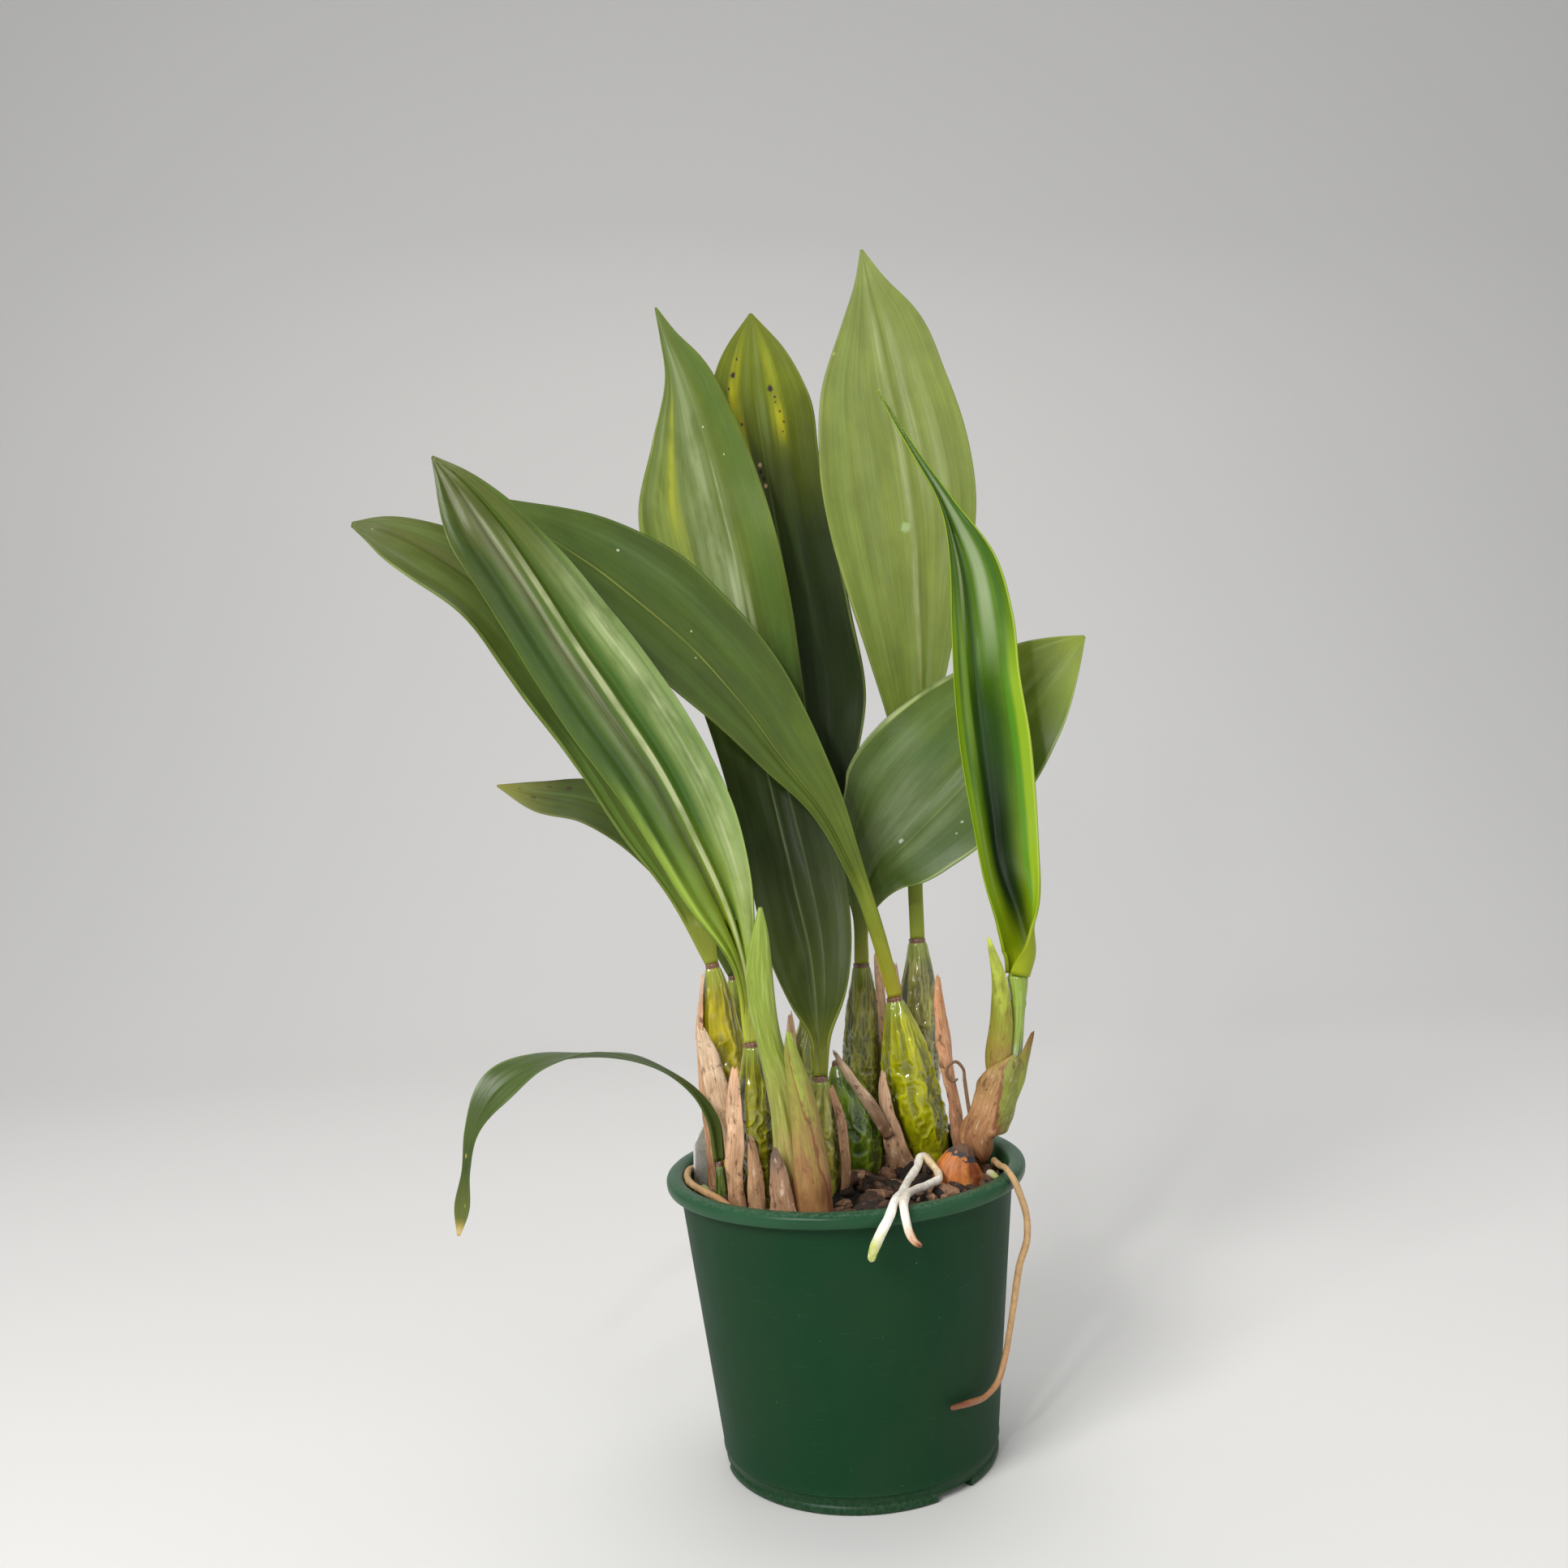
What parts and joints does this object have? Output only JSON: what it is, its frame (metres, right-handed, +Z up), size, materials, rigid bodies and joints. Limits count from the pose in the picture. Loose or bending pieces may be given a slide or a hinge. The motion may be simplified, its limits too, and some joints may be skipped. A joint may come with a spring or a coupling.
{
  "type": "potted bifrenaria orchid",
  "caption": "Potted orchid with ridged bulbs, broad pleated leaves, young shoots, papery dry bracts and stray roots in a tapered green pot of bark mix.",
  "frame": {"origin": "middle of the pot's flat underside, on the surface that the pot stands on", "axes": "+Z up along the pot's axis, +X to the right and -Y towards the viewer as the plant is seen in the picture"},
  "size_m": [0.3049, 0.1558, 0.5201],
  "materials": {
    "pot_plastic": "dark green injection-moulded plastic, satin with faint scuffs",
    "bark_mix": "rough chunks of dark bark",
    "green_bulb": "glossy yellow-green skin with lengthwise ribs",
    "dark_bulb": "dark green skin with close lengthwise wrinkles",
    "green_leaf": "glossy pleated leaf",
    "pale_leaf": "pale green leaf, half matt",
    "bright_leaf": "young bright green leaf, glossy",
    "dark_leaf": "dark green leaf, half matt",
    "shoot_skin": "smooth young green to ochre skin",
    "brown_skin": "orange-brown ridged skin",
    "dry_paper": "dry papery bract with fine fibres",
    "white_root": "matt cream root with fine rings",
    "tan_root": "dry tan root",
    "green_root_skin": "matt green root",
    "tag_plastic": "weathered pale grey plastic, blank"
  },
  "bodies": {
    "root": {"pot": "pot_plastic", "potting_mix": "bark_mix", "pseudobulb_1": "green_bulb", "pseudobulb_2": "green_bulb", "pseudobulb_3": "green_bulb", "pseudobulb_4": "green_bulb", "pseudobulb_5": "green_bulb", "pseudobulb_6": "dark_bulb", "pseudobulb_7": "dark_bulb", "pseudobulb_8": "green_bulb", "pseudobulb_9": "dark_bulb", "pseudobulb_10": "green_bulb", "leaf_1": "green_leaf", "leaf_2": "green_leaf", "leaf_3": "dark_leaf", "leaf_4": "green_leaf", "leaf_5": "green_leaf", "leaf_6": "green_leaf", "leaf_8": "green_leaf", "leaf_9": "pale_leaf", "leaf_10": "dark_leaf", "right_shoot_leaf": "bright_leaf", "front_shoot": "shoot_skin", "front_shoot_sheath": "shoot_skin", "right_shoot_stem": "shoot_skin", "right_shoot_foot": "brown_skin", "right_shoot_green_sheath": "shoot_skin", "right_shoot_papery_cover": "dry_paper", "right_shoot_small_bract": "shoot_skin", "dry_bract_1": "dry_paper", "dry_bract_2": "dry_paper", "dry_bract_3": "dry_paper", "dry_bract_4": "dry_paper", "dry_bract_5": "dry_paper", "dry_bract_6": "dry_paper", "dry_bract_7": "dry_paper", "dry_bract_8": "dry_paper", "dry_bract_9": "dry_paper", "dry_bract_10": "dry_paper", "dry_bract_11": "dry_paper", "dry_bract_12": "dry_paper", "white_forked_root": "white_root", "long_tan_root": "tan_root", "white_root_stub": "white_root", "rim_root": "tan_root", "green_root": "green_root_skin", "curled_root": "tan_root", "plant_tag": "tag_plastic"}
  },
  "joints": []
}
